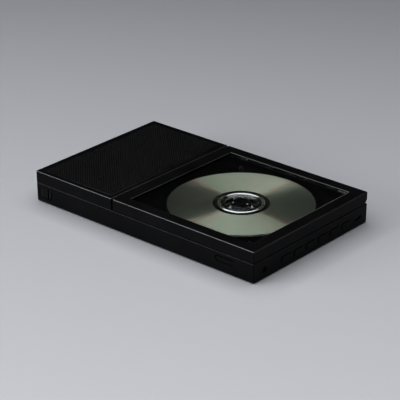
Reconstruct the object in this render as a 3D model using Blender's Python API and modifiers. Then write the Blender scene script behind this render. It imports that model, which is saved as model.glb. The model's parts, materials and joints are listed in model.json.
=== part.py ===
"""Portable disc player with two built-in loudspeakers.

A flat case: a lower shell, a perforated speaker cover on the left, and on the right a hinged
lid with a clear window over the disc. All sizes are in metres, +Z is up, -Y is the front, and
the origin is the centre of the resting face under the four rubber feet.
"""

import math

import bmesh
import bpy
from mathutils import Matrix, Vector

MM = 0.001

# ---------------------------------------------------------------- driving dimensions
LENGTH = 228.0 * MM          # case, left to right
WIDTH = 141.5 * MM           # case, front to back
FOOT_DROP = 0.5 * MM         # how far the feet hold the case off the table
SEAM_HEIGHT = 15.85 * MM     # lower shell's rim above its own bottom
CASE_HEIGHT = 26.15 * MM     # top of the case above its own bottom
SPLIT = 83.8 * MM            # width of the speaker cover
GROOVE = 1.1 * MM            # groove between the speaker cover and the lid
CORNER = 0.8 * MM            # corner radius seen from above
DRAFT = 0.15 * MM            # how much narrower each side of the case is at its bottom
TOP_EDGE = 0.6 * MM          # rounding of the case's top rim
WALL = 2.0 * MM
GAP = 0.3 * MM               # gap between pieces that touch
BUTTON_PROUD = 0.4 * MM      # how far the push buttons stand out of the right side

DISC_RADIUS = 60.0 * MM
DISC_THICKNESS = 1.2 * MM
DISC_TOP = 19.7 * MM
WINDOW = 121.5 * MM          # side of the square opening in the lid
WELL_RADIUS = 62.4 * MM

BUTTON_COUNT = 6
BUTTON_PITCH = 15.0 * MM
FIRST_BUTTON = 39.0 * MM     # middle of the first button, from the front
BUTTON_SIZE = (11.6 * MM, 5.0 * MM)
CONTROL_Z = 7.7 * MM         # height of the row of controls on the right side
BUTTON_TRAVEL = 0.6 * MM

OPEN_TRAVEL = 1.5 * MM
POWER_TRAVEL = 4.4 * MM
SLED_TRAVEL = 34.0 * MM
LENS_HOME = 24.0 * MM        # lens to spindle axis, sled at its inner end

# ---------------------------------------------------------------- worked-out places
LEFT = -(LENGTH + BUTTON_PROUD) / 2
RIGHT = LEFT + LENGTH
FRONT = -WIDTH / 2
BACK = WIDTH / 2
BOTTOM = FOOT_DROP
SEAM = BOTTOM + SEAM_HEIGHT
TOP = BOTTOM + CASE_HEIGHT
FLOOR = BOTTOM + WALL

LID_LEFT = LEFT + SPLIT + GROOVE
LID_BOTTOM = SEAM + 0.7 * MM
LID_CENTRE = (LID_LEFT + RIGHT) / 2
BARREL = 2.8 * MM            # hinge barrel radius
HINGE_Y = BACK - BARREL
HINGE_Z = LID_BOTTOM + BARREL
HINGE_STATIONS = (LID_LEFT + 19 * MM, RIGHT - 19 * MM)
EAR_WIDTH = 12.0 * MM

DISC_X = LEFT + 157.4 * MM
DISC_Y = FRONT + 70.7 * MM
DISC_BOTTOM = DISC_TOP - DISC_THICKNESS
DECK_TOP = DISC_TOP + 0.6 * MM
WELL_FLOOR = DISC_BOTTOM - 1.4 * MM
DECK_PLATE = (SEAM - 2.0 * MM, SEAM - 0.5 * MM)
ISLAND_LEFT = LID_LEFT + WALL + 0.9 * MM
ISLAND_RIGHT = RIGHT - WALL - 0.9 * MM
ISLAND_FRONT = FRONT + WALL + 0.9 * MM
ISLAND_BACK = BACK - 2 * BARREL - 0.8 * MM
ISLAND_SKIN = 1.6 * MM

PANE_TOP = TOP - 1.3 * MM
PANE_THICKNESS = 1.5 * MM
LID_SKIN = TOP - (PANE_TOP - PANE_THICKNESS)

CHASSIS = (12.4 * MM, 13.4 * MM)
SLED = (8.6 * MM, 12.0 * MM)
ROD_Z = 10.3 * MM
ROD_OFFSET = 16.0 * MM
SCREW_Y = DISC_Y - 30.0 * MM
SCREW_Z = 9.6 * MM
LENS_X = DISC_X - LENS_HOME
LENS_OUT = LENS_X - SLED_TRAVEL          # lens at the disc's outer edge
CHASSIS_LEFT = LENS_OUT - 13.4 * MM

OPEN_X = LEFT + 199.8 * MM
OPEN_Z = 10.7 * MM
OPEN_SIZE = (18.2 * MM, 4.7 * MM)
POWER_Z = 8.65 * MM
POWER_KNOB = (LEFT + 3.6 * MM, LEFT + 12.2 * MM)
POWER_STEM = (LEFT + 4.8 * MM, LEFT + 7.2 * MM)

SPEAKER_X = LEFT + 42.0 * MM
SPEAKERS = {"front": FRONT + 38.0 * MM, "back": FRONT + 103.5 * MM}
SPEAKER_RADIUS = 25.0 * MM

DECK_SCREWS = [(LEFT + 92 * MM, FRONT + 9 * MM), (LEFT + 92 * MM, BACK - 10.5 * MM),
               (RIGHT - 16.5 * MM, FRONT + 8.5 * MM), (RIGHT - 15 * MM, BACK - 10.5 * MM)]
COVER_SCREWS = [(LEFT + 8.5 * MM, FRONT + 16 * MM), (LEFT + 8.5 * MM, BACK - 8.5 * MM),
                (LEFT + 76 * MM, 0.0)]
FEET = [(x, y) for x in (LEFT + 20 * MM, RIGHT - 20 * MM) for y in (FRONT + 20 * MM, BACK - 20 * MM)]

X, Y, Z = 0, 1, 2

# ---------------------------------------------------------------- scene and materials
for old in list(bpy.data.objects):
    bpy.data.objects.remove(old)

PARTS = bpy.data.collections.new("disc_player")
CUTTERS = bpy.data.collections.new("cutters")
for collection in (PARTS, CUTTERS):
    bpy.context.scene.collection.children.link(collection)


def material(name, colour, roughness, metallic=0.0, alpha=1.0):
    made = bpy.data.materials.new(name)
    made.use_nodes = True
    shader = made.node_tree.nodes["Principled BSDF"]
    shader.inputs["Base Color"].default_value = (*colour, 1.0)
    shader.inputs["Roughness"].default_value = roughness
    shader.inputs["Metallic"].default_value = metallic
    shader.inputs["Alpha"].default_value = alpha
    return made


CASE_BLACK = material("case_black", (0.012, 0.012, 0.014), 0.5)
DECK_BLACK = material("deck_black", (0.006, 0.006, 0.007), 0.12)
BUTTON_BLACK = material("button_black", (0.018, 0.018, 0.02), 0.4)
CLEAR = material("clear_pane", (0.9, 0.92, 0.93), 0.03, alpha=0.2)
SILVER = material("disc_silver", (0.72, 0.74, 0.72), 0.18, 1.0)
STEEL = material("steel", (0.55, 0.56, 0.58), 0.3, 1.0)
RUBBER = material("rubber", (0.02, 0.02, 0.02), 0.85)
BOARD = material("board_green", (0.02, 0.12, 0.05), 0.5)
CONE_PAPER = material("cone_paper", (0.03, 0.03, 0.035), 0.75)
CELL_FOIL = material("cell_foil", (0.35, 0.37, 0.4), 0.45, 0.4)
CREAM = material("mechanism_plastic", (0.35, 0.34, 0.3), 0.5)
LENS_GLASS = material("lens_glass", (0.5, 0.6, 0.85), 0.05, alpha=0.5)


# ---------------------------------------------------------------- shape helpers
def add_box(bm, low, high, corner=0.0, axis=Z, steps=4, lower_edge=0.0, upper_edge=0.0, rim_steps=2):
    """A box from low to high. corner rounds the four edges along axis, lower_edge and
    upper_edge round the rims at its two ends."""
    size = Vector(high) - Vector(low)
    centre = (Vector(high) + Vector(low)) / 2
    made = bmesh.ops.create_cube(bm, size=1.0, matrix=Matrix.LocRotScale(centre, None, size))
    verts = set(made["verts"])
    if corner > 0:
        edges = [e for e in bm.edges if e.verts[0] in verts and e.verts[1] in verts
                 and abs((e.verts[0].co - e.verts[1].co)[axis]) > size[axis] * 0.9]
        rounded = bmesh.ops.bevel(bm, geom=edges, offset=corner, segments=steps, profile=0.5,
                                  affect="EDGES")
        verts = {v for v in verts if v.is_valid} | set(rounded["verts"])
    for width, level in ((lower_edge, low[axis]), (upper_edge, high[axis])):
        if width <= 0:
            continue
        rim = [e for e in bm.edges if e.verts[0] in verts and e.verts[1] in verts
               and abs(e.verts[0].co[axis] - level) < 1e-7
               and abs(e.verts[1].co[axis] - level) < 1e-7]
        rounded = bmesh.ops.bevel(bm, geom=rim, offset=width, segments=rim_steps, profile=0.5,
                                  affect="EDGES")
        verts = {v for v in verts if v.is_valid} | set(rounded["verts"])
    return verts


def add_rod(bm, radius, start, end, segments=24):
    """A cylinder between two points, or a cone if radius is a pair."""
    start, end = Vector(start), Vector(end)
    radii = radius if isinstance(radius, tuple) else (radius, radius)
    turn = (end - start).to_track_quat("Z", "Y")
    bmesh.ops.create_cone(bm, cap_ends=True, segments=segments, radius1=radii[0],
                          radius2=radii[1], depth=(end - start).length,
                          matrix=Matrix.LocRotScale((start + end) / 2, turn, None))


def add_ball(bm, radius, centre, segments=12):
    bmesh.ops.create_uvsphere(bm, u_segments=segments, v_segments=segments // 2, radius=radius,
                              matrix=Matrix.Translation(centre))


def finish(bm, name, collection, origin, look=None):
    """Turn a bmesh built in world coordinates into an object with its origin at origin."""
    bmesh.ops.translate(bm, verts=bm.verts, vec=-Vector(origin))
    bmesh.ops.recalc_face_normals(bm, faces=bm.faces)
    mesh = bpy.data.meshes.new(name)
    bm.to_mesh(mesh)
    bm.free()
    made = bpy.data.objects.new(name, mesh)
    made.location = origin
    collection.objects.link(made)
    if look is not None:
        mesh.materials.append(look)
        mesh.shade_smooth()
        mesh.set_sharp_from_angle(angle=math.radians(30))
    return made


def part(name, look, build, origin=(0, 0, 0)):
    """One named sub-part. build fills the bmesh it is given."""
    bm = bmesh.new()
    build(bm)
    return finish(bm, name, PARTS, origin, look)


def cutter(name, build):
    bm = bmesh.new()
    build(bm)
    made = finish(bm, name, CUTTERS, (0, 0, 0))
    made.hide_render = True
    made.display_type = "WIRE"
    return made


def combine(target, operation, name, build):
    """Cut, join or keep target with a helper solid."""
    tool = cutter(name, build)
    modifier = target.modifiers.new(name, "BOOLEAN")
    modifier.operation = operation
    modifier.solver = "EXACT"
    modifier.object = tool
    return tool


def cut(target, name, build):
    return combine(target, "DIFFERENCE", name, build)


def join(target, name, build):
    return combine(target, "UNION", name, build)


def turned(name, look, profile, centre, closed=False, steps=32):
    """A turned piece. profile is (radius, height) pairs, down the outer side."""
    bm = bmesh.new()
    points = [bm.verts.new((r, 0, z)) for r, z in profile]
    for a, b in zip(points, points[1:]):
        bm.edges.new((a, b))
    if closed:
        bm.edges.new((points[-1], points[0]))
    mesh = bpy.data.meshes.new(name)
    bm.to_mesh(mesh)
    bm.free()
    mesh.materials.append(look)
    made = bpy.data.objects.new(name, mesh)
    made.location = (centre[0], centre[1], 0)
    PARTS.objects.link(made)
    screw = made.modifiers.new("turn", "SCREW")
    screw.axis = "Z"
    screw.steps = steps
    screw.render_steps = steps
    screw.use_merge_vertices = True
    screw.merge_threshold = 0.00001
    screw.use_smooth_shade = False
    return made


def empty(name, location):
    made = bpy.data.objects.new(name, None)
    made.location = location
    PARTS.objects.link(made)
    return made


def attach(parent, *children):
    for child in children:
        child.location = Vector(child.location) - Vector(parent.location)
        child.parent = parent


# ---------------------------------------------------------------- case
def lower_shell():
    def outside(bm):
        add_box(bm, (LEFT, FRONT, BOTTOM), (RIGHT, BACK, SEAM), CORNER, lower_edge=0.7 * MM,
                upper_edge=0.3 * MM, rim_steps=3)
        middle = (LEFT + RIGHT) / 2
        for vert in bm.verts:
            inset = DRAFT * (SEAM - vert.co.z) / SEAM_HEIGHT
            vert.co.x -= math.copysign(inset, vert.co.x - middle)
            vert.co.y -= math.copysign(inset, vert.co.y)

    def hollow(bm):
        add_box(bm, (LEFT + WALL, FRONT + WALL, FLOOR), (RIGHT - WALL, BACK - WALL, SEAM + MM),
                1.2 * MM, steps=2)

    def ribs(bm):
        switch_pad = (LEFT + 18.6 * MM, FRONT + 3.2 * MM, 13.9 * MM)
        add_box(bm, (LEFT + WALL - 0.3 * MM, FRONT + 1.8 * MM, FLOOR - 0.3 * MM), switch_pad)
        add_box(bm, (OPEN_X - 5 * MM, FRONT + 13.3 * MM, FLOOR - 0.3 * MM),
                (OPEN_X + 5 * MM, FRONT + 14.8 * MM, 12.8 * MM))
        for x in (LEFT + 101 * MM, LEFT + 184 * MM):
            for y in (FRONT + 8.5 * MM, FRONT + 30 * MM):
                add_rod(bm, 2 * MM, (x, y, FLOOR - 0.3 * MM), (x, y, 3.7 * MM), 12)

    def ear_stems(bm):
        for x in HINGE_STATIONS:
            add_box(bm, (x - EAR_WIDTH / 2, HINGE_Y - BARREL * 0.98, SEAM - 1.8 * MM),
                    (x + EAR_WIDTH / 2, BACK - 0.15 * MM, HINGE_Z))

    def ear_rounds(bm):
        for x in HINGE_STATIONS:
            add_rod(bm, BARREL, (x - EAR_WIDTH / 2, HINGE_Y, HINGE_Z),
                    (x + EAR_WIDTH / 2, HINGE_Y, HINGE_Z), 24)

    def openings(bm):
        add_rod(bm, 3.0 * MM, (RIGHT - 4 * MM, FRONT + 12.8 * MM, CONTROL_Z),
                (RIGHT + MM, FRONT + 12.8 * MM, CONTROL_Z), 24)
        half = Vector((0, BUTTON_SIZE[0] / 2 + GAP, BUTTON_SIZE[1] / 2 + GAP))
        for place in button_places():
            centre = Vector((0, place, CONTROL_Z))
            low, high = centre - half, centre + half
            add_box(bm, (RIGHT - 4 * MM, low.y, low.z), (RIGHT + MM, high.y, high.z),
                    1.9 * MM, axis=X, steps=2)
        add_box(bm, (RIGHT - 4 * MM, USB_Y - 4.8 * MM, USB_Z - 2.0 * MM),
                (RIGHT + MM, USB_Y + 4.8 * MM, USB_Z + 2.0 * MM), 1.95 * MM, axis=X, steps=4)
        wide, tall = OPEN_SIZE[0] / 2 + GAP, OPEN_SIZE[1] / 2 + GAP
        add_box(bm, (OPEN_X - wide, FRONT - MM, OPEN_Z - tall),
                (OPEN_X + wide, FRONT + 4 * MM, OPEN_Z + tall), tall * 0.98, axis=Y, steps=5)
        add_box(bm, (LEFT + 3.2 * MM, FRONT - MM, POWER_Z - 4.25 * MM),
                (LEFT + 17.2 * MM, FRONT + 1.6 * MM, POWER_Z + 4.25 * MM), 0.8 * MM, axis=Y, steps=2)

    def slots_and_counterbores(bm):
        add_box(bm, (POWER_STEM[0] - GAP, FRONT + 1.4 * MM, POWER_Z - 1.3 * MM),
                (POWER_STEM[1] + POWER_TRAVEL + GAP, FRONT + 4 * MM, POWER_Z + 1.3 * MM))
        for x, y in DECK_SCREWS + COVER_SCREWS:
            add_rod(bm, 2.9 * MM, (x, y, -MM), (x, y, 1.7 * MM), 14)
        for x, y in FEET:
            add_rod(bm, 5.4 * MM, (x, y, -MM), (x, y, 1.05 * MM), 20)

    def bores(bm):
        for x, y in DECK_SCREWS + COVER_SCREWS:
            add_rod(bm, 1.5 * MM, (x, y, MM), (x, y, 4 * MM), 12)
        for x in HINGE_STATIONS:
            add_rod(bm, 1.1 * MM, (x - EAR_WIDTH, HINGE_Y, HINGE_Z),
                    (x + EAR_WIDTH, HINGE_Y, HINGE_Z), 16)

    shell = part("lower_shell", CASE_BLACK, outside)
    cut(shell, "shell_hollow", hollow)
    join(shell, "shell_ribs", ribs)
    join(shell, "shell_ear_stems", ear_stems)
    join(shell, "shell_ear_rounds", ear_rounds)
    cut(shell, "shell_openings", openings)
    cut(shell, "shell_slots", slots_and_counterbores)
    cut(shell, "shell_bores", bores)


def deck():
    plate_low, plate_high = DECK_PLATE

    def plate(bm):
        add_box(bm, (LEFT + 80.5 * MM, FRONT + 2.4 * MM, plate_low),
                (RIGHT - 2.4 * MM, BACK - 2.4 * MM, plate_high))

    def island(bm):
        add_box(bm, (ISLAND_LEFT, ISLAND_FRONT, plate_high - 0.4 * MM),
                (ISLAND_RIGHT, ISLAND_BACK, DECK_TOP), 1.5 * MM, steps=4, upper_edge=0.4 * MM)

    def underside(bm):
        add_box(bm, (ISLAND_LEFT + ISLAND_SKIN, ISLAND_FRONT + ISLAND_SKIN, plate_low - MM),
                (ISLAND_RIGHT - ISLAND_SKIN, ISLAND_BACK - ISLAND_SKIN, DECK_TOP - ISLAND_SKIN))

    def drum(bm):
        add_rod(bm, WELL_RADIUS + 1.5 * MM, (DISC_X, DISC_Y, WELL_FLOOR - 1.6 * MM),
                (DISC_X, DISC_Y, DECK_TOP - 0.8 * MM), 72)

    def finger_cups(bm):
        for x, y in finger_places():
            add_rod(bm, 12.4 * MM, (x, y, WELL_FLOOR - 1.6 * MM), (x, y, DECK_TOP - 0.7 * MM), 32)

    def posts(bm):
        for x, y in DECK_SCREWS:
            add_rod(bm, 3.0 * MM, (x, y, FLOOR + GAP), (x, y, DECK_TOP - 1.2 * MM), 14)

    def well(bm):
        add_rod(bm, WELL_RADIUS, (DISC_X, DISC_Y, WELL_FLOOR), (DISC_X, DISC_Y, DECK_TOP + MM), 96)

    def finger_scoops(bm):
        for x, y in finger_places():
            add_rod(bm, 11.0 * MM, (x, y, WELL_FLOOR + 0.05 * MM), (x, y, DECK_TOP + MM), 32)

    def turntable_hole(bm):
        add_rod(bm, 16.5 * MM, (DISC_X, DISC_Y, plate_low), (DISC_X, DISC_Y, DISC_BOTTOM), 40)

    def pickup_slot(bm):
        add_box(bm, (LENS_OUT - 4 * MM, DISC_Y - 5 * MM, plate_low),
                (DISC_X, DISC_Y + 5 * MM, DISC_BOTTOM - 0.1 * MM))

    def latch_notch(bm):
        add_box(bm, (OPEN_X - 7 * MM, FRONT, plate_low - MM),
                (OPEN_X + 7 * MM, FRONT + 7 * MM + OPEN_TRAVEL, DECK_TOP + MM))

    def ear_notches(bm):
        for x in HINGE_STATIONS:
            add_box(bm, (x - EAR_WIDTH / 2 - 0.4 * MM, HINGE_Y - BARREL - 0.4 * MM, plate_low - MM),
                    (x + EAR_WIDTH / 2 + 0.4 * MM, BACK, plate_high + MM))

    def screw_holes(bm):
        for x, y in DECK_SCREWS:
            add_rod(bm, 1.4 * MM, (x, y, FLOOR), (x, y, 10 * MM), 12)

    made = part("deck", DECK_BLACK, plate)
    join(made, "deck_island", island)
    cut(made, "deck_underside", underside)
    join(made, "deck_drum", drum)
    join(made, "deck_finger_cups", finger_cups)
    join(made, "deck_posts", posts)
    cut(made, "deck_well", well)
    cut(made, "deck_finger_scoops", finger_scoops)
    cut(made, "deck_turntable_hole", turntable_hole)
    cut(made, "deck_pickup_slot", pickup_slot)
    cut(made, "deck_latch_notch", latch_notch)
    cut(made, "deck_ear_notches", ear_notches)
    cut(made, "deck_screw_holes", screw_holes)


def finger_places():
    """Two scoops at opposite corners of the well, where a finger lifts the disc's edge."""
    reach = 60 * MM * math.sqrt(0.5)
    return [(DISC_X - reach, DISC_Y + reach), (DISC_X + reach, DISC_Y - reach)]


def button_places():
    return [FRONT + FIRST_BUTTON + BUTTON_PITCH * i for i in range(BUTTON_COUNT)]


GRILLE_LOW = (LEFT + 4.6 * MM, FRONT + 4.6 * MM)
GRILLE_HIGH = (LEFT + SPLIT - 4.6 * MM, BACK - 4.6 * MM)
GRILLE_THICKNESS = 0.8 * MM
COVER_SKIN = 1.8 * MM


def speaker_cover():
    def outside(bm):
        add_box(bm, (LEFT, FRONT, SEAM + GAP), (LEFT + SPLIT, BACK, TOP), CORNER, upper_edge=TOP_EDGE,
                rim_steps=4)

    def hollow(bm):
        add_box(bm, (LEFT + WALL, FRONT + WALL, SEAM - MM),
                (LEFT + SPLIT - WALL, BACK - WALL, TOP - COVER_SKIN), 1.2 * MM, steps=2)

    def posts(bm):
        for x, y in COVER_SCREWS:
            add_rod(bm, 3.0 * MM, (x, y, FLOOR + GAP), (x, y, TOP - 1.4 * MM), 14)

    def grille_seat(bm):
        add_box(bm, (GRILLE_LOW[0] - GAP, GRILLE_LOW[1] - GAP, TOP - GRILLE_THICKNESS - GAP),
                (GRILLE_HIGH[0] + GAP, GRILLE_HIGH[1] + GAP, TOP + MM), 1.5 * MM, steps=2)

    def sound_opening(bm):
        ledge = 6.5 * MM
        add_box(bm, (GRILLE_LOW[0] + ledge, GRILLE_LOW[1] + ledge, TOP - 3 * MM),
                (GRILLE_HIGH[0] - ledge, GRILLE_HIGH[1] - ledge, TOP), 1.5 * MM, steps=2)

    def screw_holes(bm):
        for x, y in COVER_SCREWS:
            add_rod(bm, 1.4 * MM, (x, y, FLOOR), (x, y, 10 * MM), 12)

    made = part("speaker_cover", CASE_BLACK, outside)
    cut(made, "cover_hollow", hollow)
    join(made, "cover_posts", posts)
    cut(made, "cover_grille_seat", grille_seat)
    cut(made, "cover_sound_opening", sound_opening)
    cut(made, "cover_screw_holes", screw_holes)


def speaker_grille():
    columns, rows = 5, 9

    def plate(bm):
        add_box(bm, (*GRILLE_LOW, TOP - GRILLE_THICKNESS), (*GRILLE_HIGH, TOP), 1.3 * MM, steps=2)

    def holes(bm):
        middle_x = (GRILLE_LOW[0] + GRILLE_HIGH[0]) / 2
        for column in range(columns):
            for row in range(rows):
                x = middle_x + (column - (columns - 1) / 2) * 11 * MM
                y = (row - (rows - 1) / 2) * 12.6 * MM
                add_rod(bm, 3.4 * MM, (x, y, TOP - 2 * MM), (x, y, TOP + MM), 6)

    made = part("speaker_grille", CASE_BLACK, plate)
    cut(made, "grille_holes", holes)


def lid():
    hinge = (LID_CENTRE, HINGE_Y, HINGE_Z)
    half = WINDOW / 2
    pane_half = half + 1.7 * MM

    def outside(bm):
        add_box(bm, (LID_LEFT, FRONT, LID_BOTTOM), (RIGHT, BACK, TOP), CORNER, upper_edge=TOP_EDGE,
                rim_steps=4)

    def hollow(bm):
        add_box(bm, (LID_LEFT + WALL, FRONT + WALL, LID_BOTTOM - MM),
                (RIGHT - WALL, BACK - 2.2 * MM, TOP - LID_SKIN))

    def back_edge(bm):
        add_box(bm, (LID_LEFT - MM, HINGE_Y, LID_BOTTOM - MM), (RIGHT + MM, BACK + MM, HINGE_Z))

    def barrel(bm):
        add_rod(bm, BARREL, (LID_LEFT + 0.6 * MM, HINGE_Y, HINGE_Z),
                (RIGHT - CORNER, HINGE_Y, HINGE_Z), 32)

    def catch(bm):
        add_box(bm, (OPEN_X - 4 * MM, FRONT + 1.8 * MM, 18 * MM),
                (OPEN_X + 4 * MM, FRONT + 3.4 * MM, 19.2 * MM))

    def window(bm):
        add_box(bm, (LID_CENTRE - half, -half, TOP - 4 * MM), (LID_CENTRE + half, half, TOP + MM))

    def window_edge(bm):
        reach = half - 0.5 * MM
        low = (LID_CENTRE - reach, -reach, TOP - MM)
        high = (LID_CENTRE + reach, reach, TOP + MM)
        for vert in add_box(bm, low, high):
            if vert.co.z > TOP:
                vert.co.x += math.copysign(2 * MM, vert.co.x - LID_CENTRE)
                vert.co.y += math.copysign(2 * MM, vert.co.y)

    def pane_seat(bm):
        add_box(bm, (LID_CENTRE - pane_half, -pane_half, TOP - LID_SKIN - MM),
                (LID_CENTRE + pane_half, pane_half, PANE_TOP + GAP))

    def ear_notches(bm):
        for x in HINGE_STATIONS:
            add_box(bm, (x - EAR_WIDTH / 2 - 0.4 * MM, HINGE_Y - BARREL - 0.5 * MM,
                         LID_BOTTOM - MM),
                    (x + EAR_WIDTH / 2 + 0.4 * MM, BACK + MM, HINGE_Z + BARREL + 0.4 * MM))

    def pin_holes(bm):
        for x in HINGE_STATIONS:
            add_rod(bm, 1.1 * MM, (x - EAR_WIDTH / 2 - 4 * MM, HINGE_Y, HINGE_Z),
                    (x + EAR_WIDTH / 2 + 4 * MM, HINGE_Y, HINGE_Z), 16)

    frame = part("lid_frame", CASE_BLACK, outside, hinge)
    cut(frame, "lid_hollow", hollow)
    cut(frame, "lid_back_edge", back_edge)
    join(frame, "lid_barrel", barrel)
    join(frame, "lid_catch", catch)
    cut(frame, "lid_window_hole", window)
    cut(frame, "lid_window_edge", window_edge)
    cut(frame, "lid_pane_seat", pane_seat)
    cut(frame, "lid_ear_notches", ear_notches)
    cut(frame, "lid_pin_holes", pin_holes)

    reach = pane_half - GAP
    pane = part("lid_window", CLEAR,
                lambda bm: add_box(bm, (LID_CENTRE - reach, -reach, PANE_TOP - PANE_THICKNESS),
                                   (LID_CENTRE + reach, reach, PANE_TOP)), hinge)
    pins = []
    for side, x in zip(("left", "right"), HINGE_STATIONS):
        length = EAR_WIDTH / 2 + 3.6 * MM
        pins.append(part("hinge_pin_" + side, STEEL,
                         lambda bm: add_rod(bm, 0.8 * MM, (x - length, HINGE_Y, HINGE_Z),
                                            (x + length, HINGE_Y, HINGE_Z), 16), hinge))
    attach(empty("lid_hinge", hinge), frame, pane, *pins)


# ---------------------------------------------------------------- disc and mechanism
HUB_RADIUS = 7.15 * MM
HUB_TOP = DISC_TOP + 1.8 * MM
BALL_PLACE = (6.6 * MM, DISC_TOP + 0.75 * MM)
BALL_TURN = math.radians(-2)


def ball_places():
    radius, height = BALL_PLACE
    for i in range(3):
        angle = BALL_TURN + math.radians(120 * i)
        yield (DISC_X + radius * math.cos(angle), DISC_Y + radius * math.sin(angle), height)


def spindle():
    platform = DISC_BOTTOM - 0.25 * MM
    motor_top = CHASSIS[0] - GAP
    centre = (DISC_X, DISC_Y)
    turntable = turned("turntable", DECK_BLACK, [
        (0, HUB_TOP), (5.2 * MM, HUB_TOP), (5.7 * MM, HUB_TOP - 0.3 * MM),
        (HUB_RADIUS, DISC_TOP + 0.2 * MM), (HUB_RADIUS, platform), (14 * MM, platform),
        (14 * MM, platform - 1.5 * MM), (5 * MM, platform - 1.7 * MM),
        (5 * MM, CHASSIS[1] + GAP), (1.0 * MM, CHASSIS[1] + GAP), (1.0 * MM, motor_top + GAP),
        (0, motor_top + GAP)], centre, steps=36)

    def pockets(bm):
        for place in ball_places():
            add_ball(bm, 1.2 * MM, place, 12)

    cut(turntable, "hub_pockets", pockets)
    disc = turned("disc", SILVER, [
        (DISC_RADIUS, DISC_TOP), (DISC_RADIUS, DISC_BOTTOM), (7.5 * MM, DISC_BOTTOM),
        (7.5 * MM, DISC_TOP)], centre, closed=True, steps=72)
    axle = empty("spindle_axis", (DISC_X, DISC_Y, 0))
    attach(axle, turntable, disc)
    for number, place in enumerate(ball_places(), 1):
        ball = part("hub_ball_%d" % number, STEEL, lambda bm: add_ball(bm, 0.9 * MM, place), place)
        attach(axle, ball)
    turned("spindle_motor", STEEL, [
        (0, motor_top), (10.6 * MM, motor_top), (11 * MM, motor_top - 0.4 * MM), (11 * MM, 5.4 * MM),
        (10.6 * MM, 5 * MM), (0, 5 * MM)], centre, steps=32)


def chassis():
    low, high = CHASSIS
    left, right = CHASSIS_LEFT, DISC_X + 19 * MM

    def plate(bm):
        add_box(bm, (left, DISC_Y - 25 * MM, low), (right, DISC_Y + 25 * MM, high), 2 * MM, steps=3)

    def brackets(bm):
        for x in (left + 0.4 * MM, DISC_X - 12.6 * MM):
            for y in (DISC_Y - ROD_OFFSET, DISC_Y + ROD_OFFSET):
                add_box(bm, (x, y - 2.5 * MM, SLED[0]), (x + 2.2 * MM, y + 2.5 * MM, low + 0.5 * MM))
        add_box(bm, (left + 0.4 * MM, SCREW_Y - 3 * MM, SCREW_Z - 3 * MM),
                (left + 2.6 * MM, DISC_Y - 22 * MM, low + 0.5 * MM))
        add_box(bm, (DISC_X - 8 * MM, SCREW_Y - 5 * MM, SCREW_Z - 5 * MM),
                (DISC_X - 6.4 * MM, DISC_Y - 22 * MM, high - 0.2 * MM))

    def openings(bm):
        add_box(bm, (LENS_OUT - 10.4 * MM, DISC_Y - 12 * MM, low - MM),
                (DISC_X - 14 * MM, DISC_Y + 12 * MM, high + MM))
        add_rod(bm, 4 * MM, (DISC_X, DISC_Y, low - MM), (DISC_X, DISC_Y, high + MM), 24)
        for y in (DISC_Y - ROD_OFFSET, DISC_Y + ROD_OFFSET):
            add_rod(bm, 1.3 * MM, (left - MM, y, ROD_Z), (DISC_X - 6 * MM, y, ROD_Z), 12)
        add_rod(bm, 1.9 * MM, (left - MM, SCREW_Y, SCREW_Z), (DISC_X - 4 * MM, SCREW_Y, SCREW_Z), 12)

    made = part("chassis", STEEL, plate)
    join(made, "chassis_brackets", brackets)
    cut(made, "chassis_openings", openings)
    place = 1
    for x in (DISC_X - 54 * MM, DISC_X + 14 * MM):
        for y in (DISC_Y - 21 * MM, DISC_Y + 21 * MM):
            turned("damper_%d" % place, RUBBER, [
                (0, WELL_FLOOR - 1.9 * MM), (2.6 * MM, WELL_FLOOR - 1.9 * MM),
                (2.2 * MM, high + 0.9 * MM), (2.8 * MM, high + GAP), (0, high + GAP)],
                (x, y), steps=16)
            place += 1


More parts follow.
